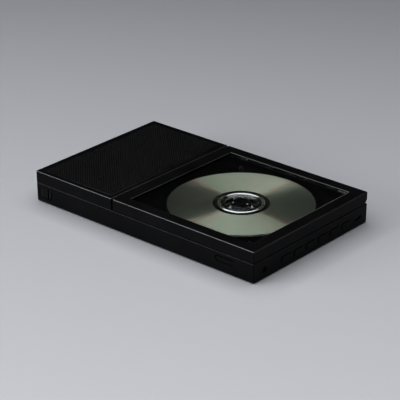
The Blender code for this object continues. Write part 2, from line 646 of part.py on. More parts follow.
def pickup():
    home = (LENS_X, DISC_Y, ROD_Z)

    def body(bm):
        add_box(bm, (LENS_X - 9 * MM, DISC_Y - 20 * MM, SLED[0]),
                (LENS_X + 9 * MM, DISC_Y + 20 * MM, SLED[1]), 2 * MM, steps=2)

    def tower(bm):
        add_box(bm, (LENS_X - 6 * MM, DISC_Y - 8 * MM, SLED[1] - 0.5 * MM),
                (LENS_X + 6 * MM, DISC_Y + 8 * MM, WELL_FLOOR - 2.3 * MM), 1 * MM, steps=2)
        add_box(bm, (LENS_X - 3 * MM, SCREW_Y - 3.2 * MM, SCREW_Z - 1.0 * MM),
                (LENS_X + 3 * MM, DISC_Y - 19 * MM, SLED[1]))

    def bores(bm):
        for y in (DISC_Y - ROD_OFFSET, DISC_Y + ROD_OFFSET):
            add_rod(bm, 1.3 * MM, (LENS_X - 12 * MM, y, ROD_Z), (LENS_X + 12 * MM, y, ROD_Z), 16)
        add_rod(bm, 1.95 * MM, (LENS_X - 5 * MM, SCREW_Y, SCREW_Z), (LENS_X + 5 * MM, SCREW_Y, SCREW_Z),
                16)

    sled = part("pickup_sled", CREAM, body, home)
    join(sled, "sled_tower", tower)
    cut(sled, "sled_bores", bores)
    lens = turned("objective_lens", LENS_GLASS, [
        (0, WELL_FLOOR + 0.2 * MM), (1.6 * MM, WELL_FLOOR), (3.0 * MM, WELL_FLOOR - 0.8 * MM),
        (3.2 * MM, WELL_FLOOR - 2.0 * MM), (0, WELL_FLOOR - 2.0 * MM)], (LENS_X, DISC_Y), steps=24)
    attach(empty("sled_home", home), sled, lens)

    for name, y in (("front", DISC_Y - ROD_OFFSET), ("back", DISC_Y + ROD_OFFSET)):
        part("guide_rod_" + name, STEEL, lambda bm: add_rod(
            bm, MM, (CHASSIS_LEFT, y, ROD_Z), (DISC_X - 10.6 * MM, y, ROD_Z), 16))
    part("lead_screw", STEEL, lambda bm: add_rod(
        bm, 1.5 * MM, (CHASSIS_LEFT - 0.4 * MM, SCREW_Y, SCREW_Z),
        (DISC_X - 6.4 * MM, SCREW_Y, SCREW_Z), 16), (LENS_X, SCREW_Y, SCREW_Z))
    part("sled_motor", STEEL, lambda bm: add_rod(
        bm, 5.2 * MM, (DISC_X - 6.1 * MM, SCREW_Y, SCREW_Z), (DISC_X + 8 * MM, SCREW_Y, SCREW_Z), 24))


# ---------------------------------------------------------------- controls and ports
BUTTON_STEM_END = RIGHT - 4.3 * MM
USB_Y = FRONT + 129.5 * MM
USB_Z = CONTROL_Z


def push_buttons():
    names = ("mode", "volume_down", "volume_up", "previous", "play", "next")
    wide, tall = BUTTON_SIZE[0] / 2, BUTTON_SIZE[1] / 2
    inside = RIGHT - WALL - 0.7 * MM

    for name, y in zip(names, button_places()):
        def cap(bm):
            add_box(bm, (inside - 0.4 * MM, y - wide, CONTROL_Z - tall),
                    (RIGHT + BUTTON_PROUD, y + wide, CONTROL_Z + tall), 1.6 * MM, axis=X, steps=2,
                    upper_edge=0.35 * MM)

        def flange(bm):
            add_box(bm, (inside - 0.7 * MM, y - wide - 0.9 * MM, CONTROL_Z - tall - 0.9 * MM),
                    (inside, y + wide + 0.9 * MM, CONTROL_Z + tall + 0.9 * MM))
            add_rod(bm, 1.2 * MM, (BUTTON_STEM_END, y, CONTROL_Z), (inside - 0.2 * MM, y, CONTROL_Z), 12)

        made = part("button_" + name, BUTTON_BLACK, cap, (RIGHT, y, CONTROL_Z))
        join(made, "button_flange_" + name, flange)


def key_board():
    def board(bm):
        add_box(bm, (RIGHT - 8 * MM, FRONT + 31 * MM, FLOOR + GAP),
                (RIGHT - 6.8 * MM, FRONT + 121 * MM, 13.5 * MM))

    def switches(bm):
        face = BUTTON_STEM_END - BUTTON_TRAVEL - GAP
        for y in button_places():
            add_box(bm, (RIGHT - 7.0 * MM, y - 2.5 * MM, CONTROL_Z - 2.5 * MM),
                    (face, y + 2.5 * MM, CONTROL_Z + 2.5 * MM))

    join(part("key_board", BOARD, board), "key_switches", switches)


def ports():
    jack_y = FRONT + 12.8 * MM

    def jack_body(bm):
        add_box(bm, (RIGHT - 11 * MM, jack_y - 3.2 * MM, FLOOR + GAP),
                (RIGHT - 2.3 * MM, jack_y + 3.2 * MM, CONTROL_Z + 3 * MM))

    jack = part("headphone_jack", BUTTON_BLACK, jack_body)
    join(jack, "jack_nose", lambda bm: add_rod(
        bm, 2.7 * MM, (RIGHT - 3 * MM, jack_y, CONTROL_Z), (RIGHT - 0.1 * MM, jack_y, CONTROL_Z), 24))
    cut(jack, "jack_bore", lambda bm: add_rod(
        bm, 1.8 * MM, (RIGHT - 10 * MM, jack_y, CONTROL_Z), (RIGHT + MM, jack_y, CONTROL_Z), 20))

    def usb_shell(bm):
        add_box(bm, (RIGHT - 8 * MM, USB_Y - 4.5 * MM, USB_Z - 1.7 * MM),
                (RIGHT - 0.3 * MM, USB_Y + 4.5 * MM, USB_Z + 1.7 * MM), 1.65 * MM, axis=X, steps=4)

    def usb_mouth(bm):
        add_box(bm, (RIGHT - 6.8 * MM, USB_Y - 4.2 * MM, USB_Z - 1.35 * MM),
                (RIGHT + MM, USB_Y + 4.2 * MM, USB_Z + 1.35 * MM), 1.3 * MM, axis=X, steps=4)

    usb = part("usb_port", STEEL, usb_shell)
    cut(usb, "usb_mouth", usb_mouth)
    join(usb, "usb_tongue", lambda bm: add_box(
        bm, (RIGHT - 7.2 * MM, USB_Y - 3.3 * MM, USB_Z - 0.35 * MM),
        (RIGHT - 1.4 * MM, USB_Y + 3.3 * MM, USB_Z + 0.35 * MM)))


def open_latch():
    origin = (OPEN_X, FRONT, OPEN_Z)
    wide, tall = OPEN_SIZE[0] / 2, OPEN_SIZE[1] / 2

    def cap(bm):
        add_box(bm, (OPEN_X - wide, FRONT + 0.5 * MM, OPEN_Z - tall),
                (OPEN_X + wide, FRONT + 2.8 * MM, OPEN_Z + tall), tall * 0.98, axis=Y, steps=5,
                lower_edge=0.3 * MM)

    def flange(bm):
        add_box(bm, (OPEN_X - wide - 1.6 * MM, FRONT + 2.4 * MM, OPEN_Z - tall - 1.0 * MM),
                (OPEN_X + wide + 1.6 * MM, FRONT + 3.3 * MM, OPEN_Z + tall + 1.0 * MM))

    def hook_foot(bm):
        add_box(bm, (OPEN_X - 5 * MM, FRONT + 3.6 * MM, OPEN_Z - 2 * MM),
                (OPEN_X + 5 * MM, FRONT + 6.1 * MM, OPEN_Z + 2 * MM))

    def hook_arm(bm):
        add_box(bm, (OPEN_X - 3 * MM, FRONT + 4.9 * MM, OPEN_Z - MM),
                (OPEN_X + 3 * MM, FRONT + 6.0 * MM, 20.6 * MM))

    def hook_nose(bm):
        add_box(bm, (OPEN_X - 2.8 * MM, FRONT + 3.7 * MM, 19.5 * MM),
                (OPEN_X + 2.8 * MM, FRONT + 5.2 * MM, 20.5 * MM))

    button = part("open_button", BUTTON_BLACK, cap, origin)
    join(button, "open_flange", flange)
    hook = part("latch_hook", CREAM, hook_foot, origin)
    join(hook, "hook_arm", hook_arm)
    join(hook, "hook_nose", hook_nose)
    attach(empty("open_guide", origin), button, hook)
    latch_spring()


def latch_spring():
    turns, per_turn, coil, wire = 5, 8, 1.6 * MM, 0.25 * MM
    start, end = FRONT + 6.7 * MM, FRONT + 12.7 * MM
    points = []
    for i in range(turns * per_turn + 1):
        angle = 2 * math.pi * i / per_turn
        along = start + (end - start) * i / (turns * per_turn)
        points.append((OPEN_X + coil * math.cos(angle), along, OPEN_Z + coil * math.sin(angle)))
    curve = bpy.data.curves.new("latch_spring", "CURVE")
    curve.dimensions = "3D"
    curve.bevel_depth = wire
    curve.bevel_resolution = 1
    curve.use_fill_caps = True
    spline = curve.splines.new("POLY")
    spline.points.add(len(points) - 1)
    for point, place in zip(spline.points, points):
        point.co = (*place, 1)
    curve.materials.append(STEEL)
    PARTS.objects.link(bpy.data.objects.new("latch_spring", curve))


def power_control():
    low, high = POWER_KNOB

    def knob(bm):
        add_box(bm, (low, FRONT + 0.2 * MM, POWER_Z - 3.85 * MM),
                (high, FRONT + 1.2 * MM, POWER_Z + 3.85 * MM), 0.6 * MM, axis=Y, steps=2,
                lower_edge=0.25 * MM)

    def stem(bm):
        add_box(bm, (POWER_STEM[0], FRONT + MM, POWER_Z - 0.9 * MM),
                (POWER_STEM[1], FRONT + 4.6 * MM, POWER_Z + 0.9 * MM))

    join(part("power_knob", BUTTON_BLACK, knob, (low, FRONT, POWER_Z)), "power_stem", stem)

    def body(bm):
        add_box(bm, (LEFT + 3.4 * MM, FRONT + 3.6 * MM, POWER_Z - 3.4 * MM),
                (LEFT + 17.4 * MM, FRONT + 8.6 * MM, POWER_Z + 3.4 * MM))

    def slot(bm):
        add_box(bm, (POWER_STEM[0] - GAP, FRONT + 3 * MM, POWER_Z - 1.3 * MM),
                (POWER_STEM[1] + POWER_TRAVEL + GAP, FRONT + 6 * MM, POWER_Z + 1.3 * MM))

    cut(part("power_switch", STEEL, body), "power_switch_slot", slot)


# ---------------------------------------------------------------- electrics and loudspeakers
def main_board():
    def board(bm):
        add_box(bm, (LEFT + 97 * MM, FRONT + 5.5 * MM, 4 * MM), (LEFT + 188 * MM, FRONT + 33 * MM, 5.6 * MM))

    def chips(bm):
        for x, y, size, height in ((112, 14, 10, 1.4), (132, 20, 14, 1.6), (154, 12, 8, 2.4),
                                   (172, 22, 9, 1.4)):
            centre = Vector((LEFT + x * MM, FRONT + y * MM, 5.4 * MM))
            half = size * MM / 2
            add_box(bm, (centre.x - half, centre.y - half, centre.z),
                    (centre.x + half, centre.y + half, centre.z + height * MM))

    join(part("main_board", BOARD, board), "board_chips", chips)


def battery():
    part("battery", CELL_FOIL, lambda bm: add_box(
        bm, (LEFT + 97 * MM, FRONT + 99 * MM, FLOOR + GAP), (LEFT + 187 * MM, FRONT + 133 * MM, 8.8 * MM),
        1.5 * MM, steps=2, lower_edge=0.8 * MM, upper_edge=0.8 * MM))


def loudspeakers():
    rim = SPEAKER_RADIUS
    for side, y in SPEAKERS.items():
        centre = (SPEAKER_X, y)
        turned("speaker_basket_" + side, STEEL, [
            (rim, 23.6 * MM), (rim, 22.4 * MM), (21.4 * MM, 22.0 * MM), (13.6 * MM, 15.0 * MM),
            (13.6 * MM, 14.0 * MM), (6.5 * MM, 14.0 * MM), (6.5 * MM, 15.0 * MM),
            (12.4 * MM, 15.6 * MM), (20.4 * MM, 22.8 * MM), (20.8 * MM, 23.6 * MM)],
            centre, closed=True, steps=20)
        turned("speaker_magnet_" + side, STEEL, [
            (0, 13.7 * MM), (13 * MM, 13.7 * MM), (13.4 * MM, 13.3 * MM), (13.4 * MM, 8.2 * MM),
            (13 * MM, 7.8 * MM), (0, 7.8 * MM)], centre, steps=24)
        turned("speaker_cone_" + side, CONE_PAPER, [
            (0, 20.9 * MM), (3.6 * MM, 20.5 * MM), (6.6 * MM, 19.2 * MM), (16.6 * MM, 23.4 * MM),
            (18.2 * MM, 24.2 * MM), (19.8 * MM, 24.2 * MM), (20.2 * MM, 23.9 * MM),
            (20.2 * MM, 23.3 * MM), (17.0 * MM, 22.9 * MM), (7.2 * MM, 18.4 * MM),
            (6.0 * MM, 16.0 * MM), (5.4 * MM, 16.0 * MM), (5.4 * MM, 18.8 * MM), (0, 20.1 * MM)],
            centre, steps=20)


def feet_and_screws():
    for number, (x, y) in enumerate(FEET, 1):
        turned("foot_%d" % number, RUBBER, [
            (0, 0.75 * MM), (5.0 * MM, 0.75 * MM), (5.0 * MM, 0.3 * MM), (4.7 * MM, 0), (0, 0)],
            (x, y), steps=20)
    for number, (x, y) in enumerate(DECK_SCREWS + COVER_SCREWS, 1):
        turned("case_screw_%d" % number, STEEL, [
            (0, 8.4 * MM), (1.1 * MM, 7.4 * MM), (1.1 * MM, 1.4 * MM), (2.4 * MM, 1.4 * MM),
            (2.4 * MM, 0.8 * MM), (1.2 * MM, 0.8 * MM), (1.0 * MM, 1.15 * MM), (0, 1.15 * MM)],
            (x, y), steps=12)


lower_shell()
deck()
speaker_cover()
speaker_grille()
lid()
spindle()
chassis()
pickup()
push_buttons()
key_board()
ports()
open_latch()
power_control()
main_board()
battery()
loudspeakers()
feet_and_screws()
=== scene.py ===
"""The looks of the portable disc player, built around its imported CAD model."""

import json
import math

import bmesh
import bpy
from mathutils import Matrix, Vector


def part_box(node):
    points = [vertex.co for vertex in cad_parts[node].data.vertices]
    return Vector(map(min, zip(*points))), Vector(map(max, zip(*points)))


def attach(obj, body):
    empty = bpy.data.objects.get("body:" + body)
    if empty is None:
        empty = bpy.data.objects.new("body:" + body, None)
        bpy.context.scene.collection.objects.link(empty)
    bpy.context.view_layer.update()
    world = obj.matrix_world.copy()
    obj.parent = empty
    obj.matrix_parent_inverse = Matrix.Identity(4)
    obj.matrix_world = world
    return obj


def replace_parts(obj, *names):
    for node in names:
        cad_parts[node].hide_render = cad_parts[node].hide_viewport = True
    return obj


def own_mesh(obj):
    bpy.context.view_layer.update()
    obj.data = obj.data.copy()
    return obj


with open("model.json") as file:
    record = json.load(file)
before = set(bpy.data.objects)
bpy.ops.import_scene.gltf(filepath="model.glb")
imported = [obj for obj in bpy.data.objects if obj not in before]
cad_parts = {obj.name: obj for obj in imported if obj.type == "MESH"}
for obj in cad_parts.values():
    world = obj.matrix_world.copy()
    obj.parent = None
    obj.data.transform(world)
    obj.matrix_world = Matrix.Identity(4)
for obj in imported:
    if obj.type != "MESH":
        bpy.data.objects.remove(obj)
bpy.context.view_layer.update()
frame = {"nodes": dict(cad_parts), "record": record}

MM = 0.001
NOISE_ROUGHNESS = 0.55
SLOPED = (0.15, 0.985)       # upward or downward part of the normals of sloped faces, which get the edge material with its painted highlight
THIRD = 2                    # slot of a material that follows the plain one and the edge one with its painted highlight
ROUNDING = 0.08 * MM         # rounding of the edges of small blocks
NODES = frame["nodes"]
BODY_OF = {node: body for body, nodes in frame["record"]["behaviour"]["bodies"].items() for node in nodes}

PIECES = bpy.data.collections.new("looks")
bpy.context.scene.collection.children.link(PIECES)


# ---------------------------------------------------------------- materials
class Look:
    """A Principled material built from object-space noise."""

    def __init__(self, name, colour, roughness, metallic=0.0, **values):
        self.material = bpy.data.materials.new(name)
        self.material.use_nodes = True
        self.tree = self.material.node_tree
        self.shader = self.tree.nodes["Principled BSDF"]
        self.shader.inputs["Base Color"].default_value = (*colour, 1)
        self.shader.inputs["Roughness"].default_value = roughness
        self.shader.inputs["Metallic"].default_value = metallic
        for socket, value in values.items():
            self.shader.inputs[socket.replace("_", " ")].default_value = value
        self.place = self.node("ShaderNodeTexCoord").outputs["Object"]
        self.normal = None

    def node(self, kind, **settings):
        made = self.tree.nodes.new(kind)
        for key, value in settings.items():
            setattr(made, key, value)
        return made

    def link(self, output, socket):
        self.tree.links.new(output, socket)

    def noise(self, size, detail=3.0, stretch=(1, 1, 1)):
        """Noise from 0 to 1 whose lumps are about size metres across."""
        mapping = self.node("ShaderNodeMapping")
        mapping.inputs["Scale"].default_value = [s / size for s in stretch]
        self.link(self.place, mapping.inputs["Vector"])
        made = self.node("ShaderNodeTexNoise")
        made.inputs["Scale"].default_value = 1.0
        made.inputs["Detail"].default_value = detail
        made.inputs["Roughness"].default_value = NOISE_ROUGHNESS
        self.link(mapping.outputs["Vector"], made.inputs["Vector"])
        return made.outputs["Fac"]

    def cells(self, size):
        """Distance to the nearest border between cells about size metres across."""
        mapping = self.node("ShaderNodeMapping")
        mapping.inputs["Scale"].default_value = [1 / size] * 3
        self.link(self.place, mapping.inputs["Vector"])
        made = self.node("ShaderNodeTexVoronoi", feature="DISTANCE_TO_EDGE")
        made.inputs["Scale"].default_value = 1.0
        self.link(mapping.outputs["Vector"], made.inputs["Vector"])
        return made.outputs["Distance"]

    def math(self, operation, a, b=0.5, c=0.0):
        made = self.node("ShaderNodeMath", operation=operation)
        for socket, value in zip(made.inputs, (a, b, c)):
            if isinstance(value, (int, float)):
                socket.default_value = value
            else:
                self.link(value, socket)
        return made.outputs[0]

    def span(self, fac, low, high, from_low=0.3, from_high=0.7):
        """fac, mostly between from_low and from_high, spread over low to high."""
        made = self.node("ShaderNodeMapRange")
        for socket, value in zip(("From Min", "From Max", "To Min", "To Max"),
                                 (from_low, from_high, low, high)):
            made.inputs[socket].default_value = value
        self.link(fac, made.inputs["Value"])
        return made.outputs["Result"]

    def mix(self, fac, a, b):
        """Colour a where fac is 0 and b where it is 1."""
        made = self.node("ShaderNodeMix", data_type="RGBA")
        if isinstance(fac, (int, float)):
            made.inputs[0].default_value = fac
        else:
            self.link(fac, made.inputs[0])
        for socket, value in ((made.inputs[6], a), (made.inputs[7], b)):
            if isinstance(value, tuple):
                socket.default_value = (*value, 1)
            else:
                self.link(value, socket)
        return made.outputs[2]

    def axes(self, vector):
        """The x, y and z of a vector, as three outputs."""
        parts = self.node("ShaderNodeSeparateXYZ")
        self.link(vector, parts.inputs[0])
        return parts.outputs

    def colour(self, output):
        self.link(output, self.shader.inputs["Base Color"])

    def roughness(self, output):
        self.link(output, self.shader.inputs["Roughness"])

    def bump(self, height, depth):
        """Raise the surface by height times depth metres, on top of any earlier bump."""
        made = self.node("ShaderNodeBump")
        made.inputs["Strength"].default_value = 1.0
        made.inputs["Distance"].default_value = depth
        self.link(height, made.inputs["Height"])
        if self.normal is not None:
            self.link(self.normal, made.inputs["Normal"])
        self.normal = made.outputs["Normal"]
        self.link(self.normal, self.shader.inputs["Normal"])

    def edges(self, radius):
        """1 where the surface turns sharply, in patches, and 0 on its flats."""
        rounded = self.node("ShaderNodeBevel", samples=4)
        rounded.inputs["Radius"].default_value = radius
        flat = self.node("ShaderNodeNewGeometry").outputs["Normal"]
        product = self.node("ShaderNodeVectorMath", operation="DOT_PRODUCT")
        self.link(rounded.outputs["Normal"], product.inputs[0])
        self.link(flat, product.inputs[1])
        patchy = self.span(self.noise(6 * MM), 0.5, 1.0)
        return self.math("MULTIPLY", self.span(product.outputs["Value"], 1.0, 0.0, 0.9, 0.995), patchy)


def moulded(name, colour, roughness, grain=0.16 * MM, depth=0.006 * MM, sheen_spread=0.06, wear=None,
            **values):
    """Moulded plastic with a fine spark-eroded grain, faint flow patches and dust in the grain."""
    look = Look(name, colour, roughness, **values)
    broad = look.noise(26 * MM, 4)
    fine = look.noise(grain, 2)
    darker = tuple(c * 0.82 for c in colour)
    lighter = tuple(c * 1.22 + 0.0006 for c in colour)
    body = look.mix(look.span(broad, 0, 1), darker, lighter)
    body = look.mix(look.math("MULTIPLY", look.span(fine, 0, 1, 0.55, 0.8), 0.25), body,
                    tuple(c * 1.9 + 0.002 for c in colour))
    patches = look.span(broad, roughness - sheen_spread, roughness + sheen_spread)
    rough = look.math("MULTIPLY_ADD", look.span(look.noise(2.2 * MM, 3), -1, 1), sheen_spread * 0.35, patches)
    if wear:
        edge = look.edges(0.35 * MM)
        body = look.mix(edge, body, wear)
        rough = look.math("MULTIPLY_ADD", edge, -0.55 * roughness, rough)
    look.colour(body)
    look.roughness(rough)
    look.bump(fine, depth)
    look.bump(look.noise(18 * MM, 2), 0.02 * MM)
    return look.material


def polished(name, colour, roughness, smudge):
    """A polished surface with faint smears and hairlines."""
    look = Look(name, colour, roughness)
    smear = look.noise(14 * MM, 5, (1, 2.4, 1))
    look.colour(look.mix(look.span(smear, 0, 1), tuple(c * 0.85 for c in colour),
                         tuple(c * 1.12 + 0.0008 for c in colour)))
    hair = look.noise(0.5 * MM, 2, (0.05, 1, 1))
    rough = look.span(smear, roughness, roughness + smudge, 0.45, 0.8)
    look.roughness(look.math("MULTIPLY_ADD", look.span(hair, 0, 1, 0.6, 0.85), smudge * 0.5, rough))
    look.bump(look.noise(30 * MM, 1), 0.01 * MM)
    return look.material


def metal(name, colour, roughness, brush=(1, 1, 1), grain=0.3 * MM, depth=0.002 * MM):
    """Sheet or turned metal. brush stretches its grain."""
    look = Look(name, colour, roughness, 1.0)
    lines = look.noise(grain, 3, brush)
    stain = look.noise(8 * MM, 4)
    body = look.mix(look.span(stain, 0, 1), tuple(c * 0.8 for c in colour),
                    tuple(min(1, c * 1.1) for c in colour))
    look.colour(look.mix(look.math("MULTIPLY", look.span(lines, 0, 1), 0.3), body,
                         tuple(c * 0.55 for c in colour)))
    look.roughness(look.math("MULTIPLY_ADD", look.span(lines, -1, 1), 0.08,
                             look.span(stain, roughness - 0.05, roughness + 0.08)))
    look.bump(lines, depth)
    return look.material


def rubber(name, colour):
    """Matt rubber with dust on it."""
    look = Look(name, colour, 0.8)
    dust = look.noise(1.1 * MM, 5)
    look.colour(look.mix(look.span(dust, 0, 1, 0.5, 0.85), colour, tuple(c * 2.4 + 0.01 for c in colour)))
    look.roughness(look.span(dust, 0.68, 0.92))
    look.bump(look.noise(0.25 * MM, 3), 0.02 * MM)
    return look.material


def laminate(name):
    """Green solder mask with copper tracks under it."""
    look = Look(name, (0.01, 0.09, 0.04), 0.35)
    tracks = look.cells(2.4 * MM)
    line = look.span(tracks, 1, 0, 0.03, 0.06)
    body = look.mix(line, (0.006, 0.06, 0.028), (0.02, 0.16, 0.06))
    look.colour(look.mix(look.span(look.noise(3 * MM), 0, 0.4), body, (0.004, 0.04, 0.02)))
    look.roughness(look.span(look.noise(0.8 * MM), 0.28, 0.45))
    look.bump(line, 0.03 * MM)
    return look.material


def clear_plastic(name, tint, roughness, ior=1.49):
    """Clear plastic that lets lamps through to what lies under it, with faint wiping marks."""
    look = Look(name, tint, roughness, Transmission_Weight=1.0, IOR=ior)
    marks = look.noise(11 * MM, 5, (1, 3, 1))
    look.roughness(look.span(marks, roughness, roughness + 0.05, 0.62, 0.85))
    clear = look.node("ShaderNodeBsdfTransparent")
    clear.inputs["Color"].default_value = (*(t * 0.94 for t in tint), 1)
    rays = look.node("ShaderNodeLightPath")
    mixer = look.node("ShaderNodeMixShader")
    look.link(rays.outputs["Is Shadow Ray"], mixer.inputs[0])
    look.link(look.shader.outputs[0], mixer.inputs[1])
    look.link(clear.outputs[0], mixer.inputs[2])
    look.link(mixer.outputs[0], look.tree.nodes["Material Output"].inputs["Surface"])
    return look.material


CASE = moulded("case plastic", (0.0066, 0.0065, 0.0073), 0.34, Specular_IOR_Level=0.18)
# Edge materials: glossier plastic whose colour, far lighter than the case's, is a painted highlight on the
# rounded edges
CASE_RIM_PAINTED_HIGHLIGHT = moulded("case plastic, glossy edges with painted highlight", (0.06, 0.06, 0.063), 0.2, grain=0.3 * MM, depth=0.0004 * MM,
               sheen_spread=0.03, Specular_IOR_Level=1.0)
LID_RIM_PAINTED_HIGHLIGHT = moulded("lid plastic, glossy edges with painted highlight", (0.045, 0.045, 0.047), 0.2, grain=0.3 * MM,
                   depth=0.0004 * MM, Specular_IOR_Level=1.0)
SHELL_RIM_PAINTED_HIGHLIGHT = moulded("shell plastic, glossy edges with painted highlight", (0.03, 0.03, 0.032), 0.26, grain=0.3 * MM,
                     depth=0.0004 * MM, Specular_IOR_Level=0.6)
# Painted shade: near-black plastic for faces that lie in gaps and recesses
PAINTED_SHADE = moulded("plastic with painted shade", (0.0012, 0.0012, 0.0015), 0.5, Specular_IOR_Level=0.08)
GRILLE = moulded("grille plastic", (0.0050, 0.0051, 0.0058), 0.32, Specular_IOR_Level=0.36)
BUTTON = moulded("button plastic", (0.0036, 0.0036, 0.0044), 0.34, grain=0.1 * MM, depth=0.002 * MM,
                 Specular_IOR_Level=0.2)
KNOB = moulded("knob plastic", (0.0065, 0.0052, 0.0078), 0.42, grain=0.1 * MM, depth=0.002 * MM,
               wear=(0.018, 0.015, 0.021), Specular_IOR_Level=0.3)
DECK = polished("deck gloss", (0.0015, 0.0013, 0.0015), 0.08, smudge=0.06)
TURNTABLE = moulded("turntable plastic", (0.0015, 0.0015, 0.0019), 0.16, grain=0.08 * MM, depth=0.0006 * MM,
                    Specular_IOR_Level=0.14)
STEEL = metal("steel sheet", (0.52, 0.53, 0.55), 0.32, (1, 12, 12))
ZINC = metal("plated steel", (0.42, 0.44, 0.48), 0.36, grain=0.8 * MM)
BRIGHT = metal("bright steel", (0.86, 0.87, 0.88), 0.07, depth=0.0002 * MM)
GOLD = metal("gold contacts", (0.8, 0.56, 0.2), 0.22)
BLACKENED = metal("blackened steel", (0.12, 0.12, 0.13), 0.4, grain=0.6 * MM)
SOLE = rubber("foot rubber", (0.016, 0.016, 0.017))
DAMPER = rubber("damper rubber", (0.02, 0.02, 0.022))
BOARD = laminate("solder mask")
PAPER = moulded("cone paper", (0.02, 0.02, 0.022), 0.8, grain=0.6 * MM, depth=0.05 * MM)
CREAM = moulded("mechanism plastic", (0.24, 0.23, 0.2), 0.42, wear=(0.4, 0.38, 0.34))
FOIL = metal("cell foil", (0.35, 0.36, 0.39), 0.42, grain=1.2 * MM)
PANE = clear_plastic("clear pane", (0.97, 0.98, 0.98), 0.0)
LENS = clear_plastic("coated lens", (0.62, 0.72, 0.95), 0.0, 1.6)


# ---------------------------------------------------------------- piece helpers
def piece(name, bm, body, material, sharp=35):
    """An object from bm that rides on body. Edges sharper than sharp degrees stay sharp."""
    mesh = bpy.data.meshes.new(name)
    bm.to_mesh(mesh)
    bm.free()
    made = bpy.data.objects.new(name, mesh)
    PIECES.objects.link(made)
    for one in material if isinstance(material, (list, tuple)) else [material]:
        mesh.materials.append(one)
    mesh.shade_smooth()
    mesh.set_sharp_from_angle(angle=math.radians(sharp))
    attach(made, body)
    return made


def refined(node, material, width=0.12 * MM, segments=2, sharp=32, edge=None):
    """A copy of a CAD node with its triangles merged into faces and its edges rounded. With an edge
    material, that covers the sloped faces and the rounded edges."""
    bm = bmesh.new()
    bm.from_mesh(NODES[node].data)
    bmesh.ops.remove_doubles(bm, verts=bm.verts, dist=1e-6)
    bmesh.ops.dissolve_limit(bm, angle_limit=math.radians(0.3), verts=bm.verts, edges=bm.edges)
    # Sloped faces take the edge material, whose light colour is a painted highlight
    if edge:
        for face in bm.faces:
            face.material_index = SLOPED[0] < abs(face.normal.z) < SLOPED[1]
    made = piece(node + "_look", bm, BODY_OF[node], [material, edge] if edge else material,
                 sharp)
    bevel = made.modifiers.new("edges", "BEVEL")
    bevel.width = width
    bevel.segments = segments
    bevel.limit_method = "ANGLE"
    bevel.angle_limit = math.radians(50)
    bevel.use_clamp_overlap = True
    bevel.material = 1 if edge else -1
    flats = made.modifiers.new("flats", "WEIGHTED_NORMAL")
    flats.keep_sharp = True
    flats.weight = 80
    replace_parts(made, node)
    return made


def ring_mesh(rings, steps, centre, closed=False):
    """A turned mesh from (radius, height) pairs, round a vertical axis at centre."""
    bm = bmesh.new()
    loops = []
    for radius, height in rings:
        if radius == 0:
            loops.append([bm.verts.new((centre[0], centre[1], height))] * steps)
            continue
        loops.append([bm.verts.new((centre[0] + radius * math.cos(2 * math.pi * i / steps),
                                    centre[1] + radius * math.sin(2 * math.pi * i / steps), height))
                      for i in range(steps)])
    pairs = list(zip(loops, loops[1:]))
    if closed:
        pairs.append((loops[-1], loops[0]))
    for band, (a, b) in enumerate(pairs):
        for i in range(steps):
            j = (i + 1) % steps
            corners = list(dict.fromkeys((a[i], b[i], b[j], a[j])))
            face = bm.faces.new(corners)
            face.material_index = band
    bmesh.ops.recalc_face_normals(bm, faces=bm.faces)
    return bm


def block(bm, middle, size, segments=0):
    """Add a box to bm. With segments, its edges are rounded."""
    made = bmesh.ops.create_cube(bm, size=1.0, matrix=Matrix.LocRotScale(Vector(middle), None, Vector(size)))
    if segments:
        edges = dict.fromkeys(edge for vert in made["verts"] for edge in vert.link_edges)
        bmesh.ops.bevel(bm, geom=list(edges), offset=ROUNDING, segments=segments, affect="EDGES")


def centre_of(node):
    low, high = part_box(node)
    return (low + high) / 2


# ---------------------------------------------------------------- case
LID_WALL = 1.2 * MM          # faces nearer the lid's outside than this are on its outer walls
POCKET_BEYOND = 5 * MM       # the pocket's floor ends less than this beyond the power knob's right end
POCKET_DEPTH = (1 * MM, 2 * MM)  # the floor lies between these depths behind the knob's front
POCKET_SHADOW = 1.9 * MM       # from the knob's right end to the painted shadow, a dark band on the floor of its pocket
SHADOW_BLUR = 0.2 * MM


def painted_pocket_floor():
    """Floor of the power slide's pocket: painted light, far lighter than the case, with a painted shadow, a
    dark band, at its right end.
    """
    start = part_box("power_knob")[1].x + POCKET_SHADOW
    look = Look("pocket floor, painted light and shadow", (0.05, 0.05, 0.053), 0.5, Specular_IOR_Level=0.06)
    band = look.span(look.axes(look.place)[0], 0, 1, start, start + SHADOW_BLUR)
    body = look.mix(look.noise(0.4 * MM, 3), (0.045, 0.045, 0.048), (0.055, 0.055, 0.058))
    # Painted light and shadow: a light floor, dark in a band at its right end
    look.colour(look.mix(band, body, (0.0015, 0.0015, 0.0018)))
    look.roughness(look.span(look.noise(MM, 3), 0.42, 0.55))
    look.bump(look.noise(0.2 * MM, 2), 0.002 * MM)
    return look.material


def lower_shell():
    """The lower half of the case. The floor of the power slide's pocket has its own material, with painted
    light and a painted shadow.
    """
    mesh = refined("lower_shell", CASE, 0.15 * MM, edge=SHELL_RIM_PAINTED_HIGHLIGHT).data
    mesh.materials.append(painted_pocket_floor())
    low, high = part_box("power_knob")
    for face in mesh.polygons:
        x, y, z = face.center
        if (face.normal.y < -0.9 and low.x < x < high.x + POCKET_BEYOND
                and low.y + POCKET_DEPTH[0] < y < low.y + POCKET_DEPTH[1] and low.z - MM < z < high.z + MM):
            face.material_index = THIRD


